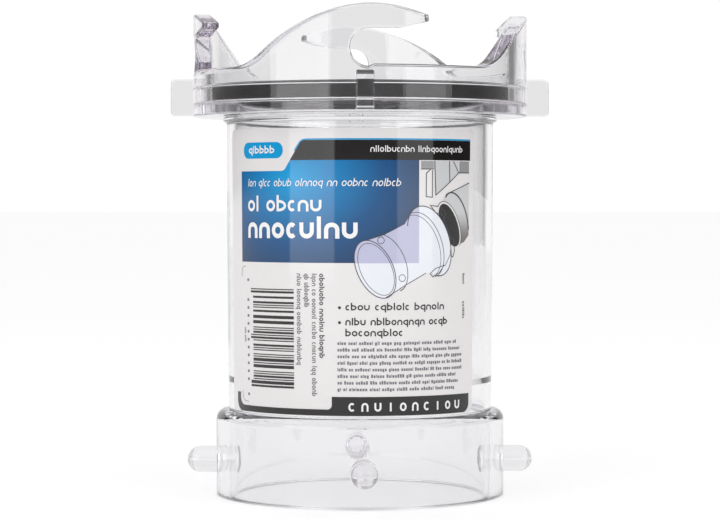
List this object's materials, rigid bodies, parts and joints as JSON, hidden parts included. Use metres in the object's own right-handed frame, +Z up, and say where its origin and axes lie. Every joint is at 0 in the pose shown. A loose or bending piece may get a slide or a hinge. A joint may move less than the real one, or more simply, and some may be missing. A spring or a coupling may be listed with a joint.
{
  "type": "bayonet waste hose extender",
  "caption": "Clear straight waste outlet extender for a caravan, with a lug collar at the foot, a swivelling bayonet hook ring and rubber face seal at the head, and a wrapped label.",
  "frame": {"origin": "centre of the collar's end face, which the part stands on", "axes": "+Z up the tube towards the hooks; -Y is the front, where one ear, one hook, one lug pin and the printed label's middle face; +X is to the right seen from the front"},
  "size_m": [0.1334, 0.1334, 0.169],
  "materials": {
    "clear_plastic": "clear moulded polycarbonate, polished",
    "seal_rubber": "black moulded rubber, satin",
    "label_film": "printed plastic film, semi-gloss"
  },
  "bodies": {
    "barrel": {"tube": "clear_plastic", "lug_collar": "clear_plastic", "lug_pin_front": "clear_plastic", "lug_pin_right": "clear_plastic", "lug_pin_back": "clear_plastic", "lug_pin_left": "clear_plastic", "end_seal": "seal_rubber", "front_label": "label_film", "back_label": "label_film"},
    "ring": {"locking_ring": "clear_plastic"}
  },
  "joints": [
    {"name": "ring_swivel", "type": "hinge", "parent": "barrel", "child": "ring", "pos_m": [0, 0, 0.1353], "axis": [0, 0, 1], "continuous": true}
  ]
}
